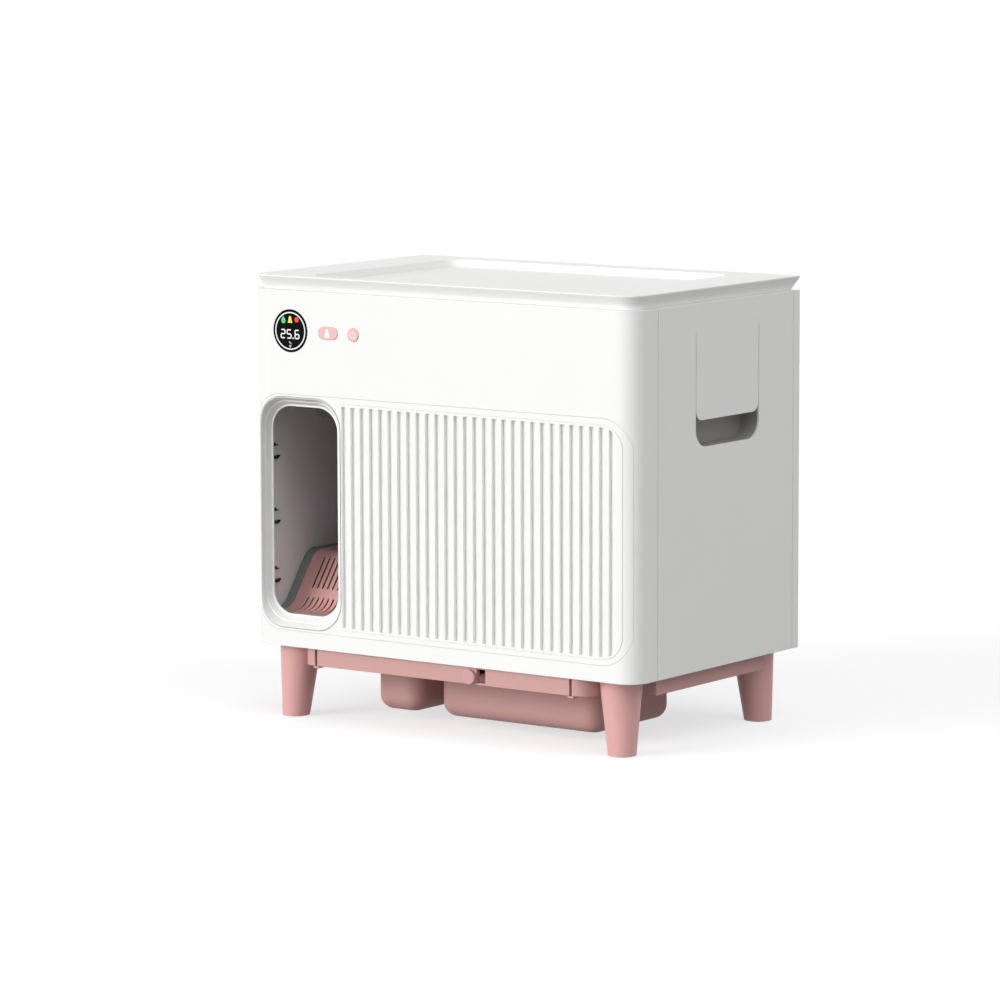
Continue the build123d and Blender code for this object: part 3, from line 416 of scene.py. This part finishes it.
def mirrored(half: Outline) -> Outline:
    """Complete an outline from its right half, given from the top to the bottom."""
    return (*half, *((-x, y) for x, y in reversed(half) if x > 0))


def polygon(sides: int, radius: float, turn: float) -> Outline:
    """Work out the corners of a regular polygon.

    Args:
        sides: How many sides it has.
        radius: How far its corners lie from its middle.
        turn: How far its first corner lies clockwise from +Y, in radians.

    Returns:
        The corners, clockwise.
    """
    angles = [turn + 2 * math.pi * side / sides for side in range(sides)]
    return tuple((radius * math.sin(angle), radius * math.cos(angle)) for angle in angles)


def round_corners(mesh: bmesh.types.BMesh, radius: float, segments: int = 3) -> None:
    """Round the corners of flat faces.

    Args:
        mesh: The mesh to change.
        radius: How far each rounding reaches along its edges.
        segments: How many edges each rounding has.
    """
    bmesh.ops.bevel(
        mesh,
        geom=mesh.verts[:],
        offset=radius,
        segments=segments,
        profile=ARC,
        affect="VERTICES",
        material=-1,
    )


def shift(mesh: bmesh.types.BMesh, x: float, y: float) -> None:
    """Move a flat mesh in its plane, by millimetres."""
    bmesh.ops.translate(mesh, vec=(x * MM, y * MM, 0.0), verts=mesh.verts[:])


def finish_piece(
    mesh: bmesh.types.BMesh, name: str, material: bpy.types.Material, body: str
) -> bpy.types.Object:
    """Turn a finished mesh into a piece that rides on a CAD body.

    Args:
        mesh: The mesh, already in place. It is freed.
        name: The piece's name.
        material: Its finish.
        body: The CAD body that it moves with.

    Returns:
        The new object.
    """
    data = bpy.data.meshes.new(name)
    mesh.to_mesh(data)
    mesh.free()
    data.materials.append(material)
    piece = bpy.data.objects.new(name, data)
    bpy.context.scene.collection.objects.link(piece)
    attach(piece, body)
    LOG.info("made %s: %d faces on %s", name, len(data.polygons), body)
    return piece


@dataclass(frozen=True)
class Carrier:
    """A CAD node whose front carries marks."""

    node: str
    body: str
    slot: str
    lift_mm: float = 0.06

    def carry(self, mesh: bmesh.types.BMesh, name: str, material: bpy.types.Material) -> None:
        """Thicken a flat mark and set it on the middle of the node's front.

        Args:
            mesh: The mark, drawn in the XY plane. It is freed.
            name: The mark's name.
            material: Its finish.
        """
        thicken(mesh, self.lift_mm * MM)
        low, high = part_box(self.node)
        front = ((low[0] + high[0]) / 2, low[1], (low[2] + high[2]) / 2)
        stand = Matrix.Translation(front) @ Matrix.Rotation(math.pi / 2, 4, "X")
        bmesh.ops.transform(mesh, matrix=stand, verts=mesh.verts[:])
        finish_piece(mesh, name, material, self.body)


class Digit(Enum):
    """The lit bars of each figure on the display, named as on any seven-bar figure."""

    two = "abged"
    five = "afgcd"
    six = "afgecd"


@dataclass(frozen=True)
class Icon:
    """A small lit sign on the display. Sizes are in millimetres, from the window's middle."""

    name: str
    mark: Mark
    outline: Outline
    rounding: float
    x: float
    z: float
    border: float | None = None

    def draw(self) -> bmesh.types.BMesh:
        """Return the sign's flat mesh, hollow if it has a border."""
        mesh = bmesh.new()
        add_outline(mesh, self.outline)
        round_corners(mesh, self.rounding * MM)
        if self.border is not None:
            sign = mesh.faces[:]
            rim = bmesh.ops.inset_individual(mesh, faces=sign, thickness=self.border * MM)["faces"]
            middle = set(mesh.faces) - set(rim)
            bmesh.ops.delete(mesh, geom=list(middle), context="FACES")
        shift(mesh, self.x, self.z)
        return mesh


@dataclass
class DisplayFace:
    """The lit marks on the round display window. Sizes are in millimetres."""

    palette: Palette
    window: Carrier = Carrier("display_lens", "cabinet", "black_glass")
    ring_radius: float = 28.2
    ring_width: float = 1.9
    ring_steps: int = 72
    digit_width: float = 9.6
    digit_height: float = 14.6
    bar: float = 2.0
    # Shares of a bar's width: what is cut from its length, and its corners' rounding.
    bar_cut: float = 0.35
    bar_rounding: float = 0.4
    digit_pitch: float = 11.8
    point_gap: float = 3.5
    point: float = 2.5
    digits_x: float = -0.5
    digits_z: float = -4.9
    icons: tuple[Icon, ...] = (
        Icon(
            "display_drop",
            Mark.green_led,
            mirrored(((0.0, 6.0), (1.3, 3.9), (3.3, 0.7), (4.1, -1.8), (3.3, -4.3), (1.3, -5.5))),
            rounding=0.9,
            x=-13.3,
            z=16.6,
            border=2.9,
        ),
        Icon(
            "display_bell",
            Mark.yellow_led,
            mirrored(((0.7, 5.4), (2.1, 3.9), (2.7, 1.6), (3.0, -1.4), (4.3, -3.4), (4.3, -5.2))),
            rounding=0.5,
            x=-0.4,
            z=17.5,
        ),
        Icon(
            "display_alarm",
            Mark.red_led,
            polygon(6, 4.7, math.pi / 6),
            rounding=1.0,
            x=12.5,
            z=17.6,
        ),
    )
    stroke: Outline = ((-2.4, 2.2), (-0.9, 2.2), (2.6, -0.9), (2.6, -2.2), (1.2, -2.2), (-2.4, 0.7))
    stroke_z: float = -18.3
    wedge: Outline = polygon(3, 3.1, math.pi)
    wedge_z: float = -23.6
    small_x: float = -0.3
    small_rounding: float = 0.3
    small_segments: int = 2

    def build(self) -> None:
        """Make every mark of the display."""
        self._done(self._ring(), "display_ring", Mark.white_led)
        self._done(self._figures(), "display_figures", Mark.white_led)
        for icon in self.icons:
            self._done(icon.draw(), icon.name, icon.mark)
        self._done(self._small_marks(), "display_small_marks", Mark.dim_led)

    def _done(self, mesh: bmesh.types.BMesh, name: str, mark: Mark) -> None:
        """Set a mark on the window and give it its light."""
        self.window.carry(mesh, name, self.palette.get(mark))

    def _ring(self) -> bmesh.types.BMesh:
        """Return the thin ring of light round the window."""
        mesh = bmesh.new()
        ends = [
            mesh.verts.new(((self.ring_radius + side * self.ring_width / 2) * MM, 0.0, 0.0))
            for side in (-1, 1)
        ]
        bmesh.ops.spin(
            mesh,
            geom=[*ends, mesh.edges.new(ends)],
            axis=(0, 0, 1),
            cent=(0, 0, 0),
            angle=2 * math.pi,
            steps=self.ring_steps,
            use_merge=True,
        )
        return mesh

    def _figures(self) -> bmesh.types.BMesh:
        """Return the three figures and the point between the last two."""
        half_w = (self.digit_width - self.bar) / 2
        half_h = (self.digit_height - self.bar) / 2
        across = 2 * half_w - self.bar_cut * self.bar
        up = half_h - self.bar_cut * self.bar
        bars = {
            "a": (0.0, half_h, across, self.bar),
            "g": (0.0, 0.0, across, self.bar),
            "d": (0.0, -half_h, across, self.bar),
            "f": (-half_w, half_h / 2, self.bar, up),
            "b": (half_w, half_h / 2, self.bar, up),
            "e": (-half_w, -half_h / 2, self.bar, up),
            "c": (half_w, -half_h / 2, self.bar, up),
        }
        span = 2 * self.digit_pitch + self.point_gap
        starts = (-span / 2, -span / 2 + self.digit_pitch, span / 2)
        mesh = bmesh.new()
        for start, digit in zip(starts, (Digit.two, Digit.five, Digit.six)):
            for letter in digit.value:
                x, y, width, height = bars[letter]
                add_bar(mesh, start + x, y, width, height)
        add_bar(mesh, (starts[1] + starts[2]) / 2, -half_h, self.point, self.point)
        round_corners(mesh, self.bar_rounding * self.bar * MM)
        shift(mesh, self.digits_x, self.digits_z)
        return mesh

    def _small_marks(self) -> bmesh.types.BMesh:
        """Return the two small dim marks under the figures."""
        mesh = bmesh.new()
        for outline, z in ((self.stroke, self.stroke_z), (self.wedge, self.wedge_z)):
            add_outline(mesh, tuple((x + self.small_x, y + z) for x, y in outline))
        round_corners(mesh, self.small_rounding * MM, self.small_segments)
        return mesh


@dataclass
class ButtonMarks:
    """The printed marks on the two buttons. Sizes are in millimetres."""

    palette: Palette
    clean: Carrier = Carrier("clean_button", "clean_key", "button_abs")
    brush: Outline = mirrored(((2.2, 7.0), (2.6, 3.0), (4.0, -1.0), (4.9, -6.9)))
    brush_rounding: float = 0.9
    brush_x: float = -1.0
    power: Carrier = Carrier("power_button", "power_key", "button_abs")
    power_radius: float = 4.9
    power_width: float = 1.5
    power_gap_degrees: float = 76.0
    power_steps: int = 40
    power_bar: float = 5.6
    power_bar_past: float = 1.2

    def build(self) -> None:
        """Make both marks."""
        ink = self.palette.get(Mark.ink)
        self.clean.carry(self._brush(), "clean_mark", ink)
        self.power.carry(self._power(), "power_mark", ink)

    def _brush(self) -> bmesh.types.BMesh:
        """Return the brush of the cleaning button."""
        mesh = bmesh.new()
        add_outline(mesh, self.brush)
        round_corners(mesh, self.brush_rounding * MM)
        shift(mesh, self.brush_x, 0.0)
        return mesh

    def _power(self) -> bmesh.types.BMesh:
        """Return the gapped ring and the bar of the power button."""
        mesh = bmesh.new()
        half_gap = math.radians(self.power_gap_degrees / 2)
        start = Matrix.Rotation(math.pi / 2 + half_gap, 3, "Z") @ Vector((1.0, 0.0, 0.0))
        ends = [
            mesh.verts.new(start * (self.power_radius + side * self.power_width / 2) * MM)
            for side in (-1, 1)
        ]
        bmesh.ops.spin(
            mesh,
            geom=[*ends, mesh.edges.new(ends)],
            axis=(0, 0, 1),
            cent=(0, 0, 0),
            angle=2 * (math.pi - half_gap),
            steps=self.power_steps,
        )
        middle = self.power_radius + self.power_bar_past - self.power_bar / 2
        add_bar(mesh, 0.0, middle, self.power_width, self.power_bar)
        return mesh


@dataclass
class RearScrews:
    """The cross-recessed screws in the rear panel. Sizes are in millimetres."""

    palette: Palette
    across: tuple[float, ...] = (-280.0, -95.0, 95.0, 280.0)
    rows: tuple[float, ...] = (118.0, 664.0)
    head_radius: float = 4.0
    head_height: float = 1.5
    head_segments: int = 32
    dome: float = 0.6
    dome_segments: int = 4
    dome_profile: float = 0.6
    recess_arm: float = 2.1
    recess_width: float = 0.9
    recess_depth: float = 1.0
    shank_radius: float = 1.5
    shank_length: float = 13.0
    shank_segments: int = 16

    def build(self) -> None:
        """Make all the screws as one piece that stands for the CAD node."""
        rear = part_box("rear_screws")[1][1] - self.head_height * MM
        face_rear = Matrix.Rotation(-math.pi / 2, 4, "X")
        mesh = bmesh.new()
        for x in self.across:
            for z in self.rows:
                self._screw(mesh, Matrix.Translation((x * MM, rear, z * MM)) @ face_rear)
        bmesh.ops.recalc_face_normals(mesh, faces=mesh.faces[:])
        steel = self.palette.get(Finish.steel)
        piece = finish_piece(mesh, "rear_screw_set", steel, "cabinet")
        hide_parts("rear_screws")

    def _screw(self, mesh: bmesh.types.BMesh, place: Matrix) -> None:
        """Add one screw.

        Args:
            mesh: The mesh that takes it.
            place: The middle of the head's underside, with the head along +Z.
        """
        single = bmesh.new()
        self._head(single)
        bmesh.ops.create_cone(
            single,
            cap_ends=True,
            segments=self.shank_segments,
            radius1=self.shank_radius * MM,
            radius2=self.shank_radius * MM,
            depth=self.shank_length * MM,
            matrix=Matrix.Translation((0, 0, -self.shank_length * MM / 2)),
        )
        bmesh.ops.transform(single, matrix=place, verts=single.verts[:])
        made = bpy.data.meshes.new("screw")
        single.to_mesh(made)
        single.free()
        mesh.from_mesh(made)
        bpy.data.meshes.remove(made)

    def _head(self, single: bmesh.types.BMesh) -> None:
        """Add a domed head with its cross recess, from its underside along +Z."""
        arm, half = self.recess_arm, self.recess_width / 2
        quarter = [Vector(point) for point in ((arm, -half), (arm, half), (half, half))]
        turns = [Matrix.Rotation(turn * math.pi / 2, 2) for turn in range(4)]
        top = self.head_height * MM
        slot = [
            single.verts.new(((turn @ point) * MM).to_3d() + Vector((0, 0, top)))
            for turn in turns
            for point in quarter
        ]
        slot_edges = [single.edges.new(pair) for pair in zip(slot, slot[1:] + slot[:1])]
        rim = bmesh.ops.create_circle(
            single,
            segments=self.head_segments,
            radius=self.head_radius * MM,
            matrix=Matrix.Translation((0, 0, top)),
        )["verts"]
        rim_edges = list({edge for vert in rim for edge in vert.link_edges})
        bmesh.ops.triangle_fill(
            single, use_beauty=True, edges=slot_edges + rim_edges, normal=(0, 0, 1)
        )
        for edges, depth in ((slot_edges, self.recess_depth * MM), (rim_edges, top)):
            wall = bmesh.ops.extrude_edge_only(single, edges=edges)["geom"]
            end = [item for item in wall if not isinstance(item, bmesh.types.BMFace)]
            verts = [item for item in end if isinstance(item, bmesh.types.BMVert)]
            bmesh.ops.translate(single, vec=(0, 0, -depth), verts=verts)
            bmesh.ops.contextual_create(single, geom=end)
        bmesh.ops.bevel(
            single,
            geom=rim_edges,
            offset=self.dome * MM,
            segments=self.dome_segments,
            profile=self.dome_profile,
            affect="EDGES",
            material=-1,
        )


@dataclass
class Housing:
    """The CAD nodes, each dressed by its material slot."""

    palette: Palette
    frame: dict[str, Any]
    # Pink nodes whose names start so sit under the cabinet and get the pink with painted shade.
    etched: tuple[str, ...] = (
        "drawer_",
        "waste_well",
        "spill_well",
        "front_rail",
        "side_rail",
        "rear_rail",
    )

    def dress(self) -> None:
        """Give every CAD node the finish of its slot, or the pink with painted shade on the base.
        """
        subparts = self.frame["record"]["subparts"]
        slots = {part["node"]: part["material_slot"] for part in subparts}
        for name, node in self.frame["nodes"].items():
            finish = Finish[slots[name]]
            # Painted shade: the drawer, wells and rails take a darker pink for the shade that the
            # cabinet casts on them.
            if finish is Finish.pink_abs and name.startswith(self.etched):
                finish = Finish.pink_etched
            material = self.palette.get(finish)
            node.data.materials.clear()
            node.data.materials.append(material)
            LOG.info("dressed %s in %s", name, material.name)


@dataclass(frozen=True)
class Sun:
    """A broad, far light."""

    name: str
    comes_from: tuple[float, float, float]
    strength: float
    degrees: float

    def build(self) -> None:
        """Hang the light."""
        lamp = bpy.data.lights.new(self.name, "SUN")
        lamp.energy = self.strength
        lamp.angle = math.radians(self.degrees)
        holder = bpy.data.objects.new(self.name, lamp)
        holder.rotation_euler = Vector(self.comes_from).to_track_quat("Z", "Y").to_euler()
        bpy.context.scene.collection.objects.link(holder)


@dataclass
class Studio:
    """The floor, the light and the camera."""

    floor_size: float = 120.0
    # The floor's tone in the light that it throws back, and its tone and glow to the camera.
    floor_tone: str = "#A2A2A2"
    floor_seen: str = "#AEAEAE"
    floor_glow: float = 0.665
    # The room's strength as light. The camera sees it as white.
    sky: float = 0.42
    key: Sun = Sun("soft_key", (-0.449, -0.844, 0.292), 2.32, 40.0)
    fill: Sun = Sun("soft_fill", (0.62, -0.18, 0.76), 0.94, 50.0)
    # Where the camera stands, and how it is turned, in degrees.
    eye: tuple[float, float, float] = (4.3401, -6.0729, 1.3126)
    azimuth: float = 35.84
    pitch: float = 7.42
    roll: float = 0.144
    lens_mm: float = 175.68
    sensor_mm: float = 36.0
    sight: float = 300.0

    def build(self) -> None:
        """Make the whole studio."""
        bpy.context.scene.view_settings.view_transform = "Standard"
        self._floor()
        self._sky()
        self.key.build()
        self.fill.build()
        self._camera()

    def _seen(self, tree: bpy.types.NodeTree) -> Socket:
        """Tell what the camera sees, straight, mirrored or through a window, from what gives light.

        Args:
            tree: The node tree that asks.

        Returns:
            A socket that is 1 for what is seen and 0 for light.
        """
        ray = add_node(tree, "ShaderNodeLightPath").outputs
        seen = ray["Is Camera Ray"]
        for kind in ("Is Glossy Ray", "Is Transmission Ray"):
            either = {0: seen, 1: ray[kind]}
            seen = add_node(tree, "ShaderNodeMath", {"operation": "MAXIMUM"}, either).outputs[0]
        return seen

    def _floor(self) -> None:
        """Lay a wide pale floor that is white to the camera and keeps the shadow."""
        mesh = bmesh.new()
        bmesh.ops.create_grid(mesh, x_segments=1, y_segments=1, size=self.floor_size / 2)
        data = bpy.data.meshes.new("floor")
        mesh.to_mesh(data)
        mesh.free()
        data.materials.append(self._paper())
        floor = bpy.data.objects.new("floor", data)
        bpy.context.scene.collection.objects.link(floor)

    def _paper(self) -> bpy.types.Material:
        """Return the floor's matt paper, which glows a little to the camera only."""
        material, tree = new_material("matt_paper_floor")
        seen = self._seen(tree)
        tones = {
            "data_type": "RGBA",
            MIX_FROM: linear(self.floor_tone),
            MIX_TO: linear(self.floor_seen),
        }
        mix = add_node(tree, "ShaderNodeMix", tones, {MIX_FACTOR: seen})
        share = {"operation": "MULTIPLY", 1: self.floor_glow}
        glow = add_node(tree, "ShaderNodeMath", share, {0: seen}).outputs[0]
        shader = add_node(
            tree,
            "ShaderNodeBsdfPrincipled",
            {"Roughness": 1.0, "Specular IOR Level": 0.0, "Emission Color": linear(WHITE)},
            {"Base Color": mix.outputs[MIX_RESULT], "Emission Strength": glow},
        )
        close_material(tree, shader)
        return material

    def _sky(self) -> None:
        """Light the room evenly, and show white to the camera and in reflections."""
        world = bpy.data.worlds.new("soft_room")
        bpy.context.scene.world = world
        world.use_nodes = True
        tree = world.node_tree
        tree.nodes.clear()
        ends = {"To Min": self.sky, "To Max": 1.0}
        level = add_node(tree, "ShaderNodeMapRange", ends, {"Value": self._seen(tree)}).outputs[0]
        room = add_node(
            tree, "ShaderNodeBackground", {"Color": linear(WHITE)}, {"Strength": level}
        )
        add_node(tree, "ShaderNodeOutputWorld", links={"Surface": room.outputs[0]})

    def _camera(self) -> None:
        """Set the camera where the photograph was taken from."""
        side, down = math.radians(self.azimuth), math.radians(self.pitch)
        flat = math.cos(down)
        ahead = Vector((-math.sin(side) * flat, math.cos(side) * flat, -math.sin(down)))
        level = Vector((math.cos(side), math.sin(side), 0.0))
        below = ahead.cross(level)
        turn = math.radians(self.roll)
        right = math.cos(turn) * level + math.sin(turn) * below
        up = math.sin(turn) * level - math.cos(turn) * below
        lens = bpy.data.cameras.new("camera")
        lens.lens = self.lens_mm
        lens.sensor_width = self.sensor_mm
        lens.clip_end = self.sight
        camera = bpy.data.objects.new("camera", lens)
        axes = Matrix((right, up, -ahead)).transposed().to_4x4()
        camera.matrix_world = Matrix.Translation(self.eye) @ axes
        bpy.context.scene.collection.objects.link(camera)
        bpy.context.scene.camera = camera


def main() -> None:
    """Dress the frame, add the marks and set the studio."""
    logging.basicConfig(level=logging.INFO, format="%(message)s")
    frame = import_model()
    palette = Palette()
    Housing(palette, frame).dress()
    DisplayFace(palette).build()
    ButtonMarks(palette).build()
    RearScrews(palette).build()
    Studio().build()


if __name__ == "__main__":
    main()
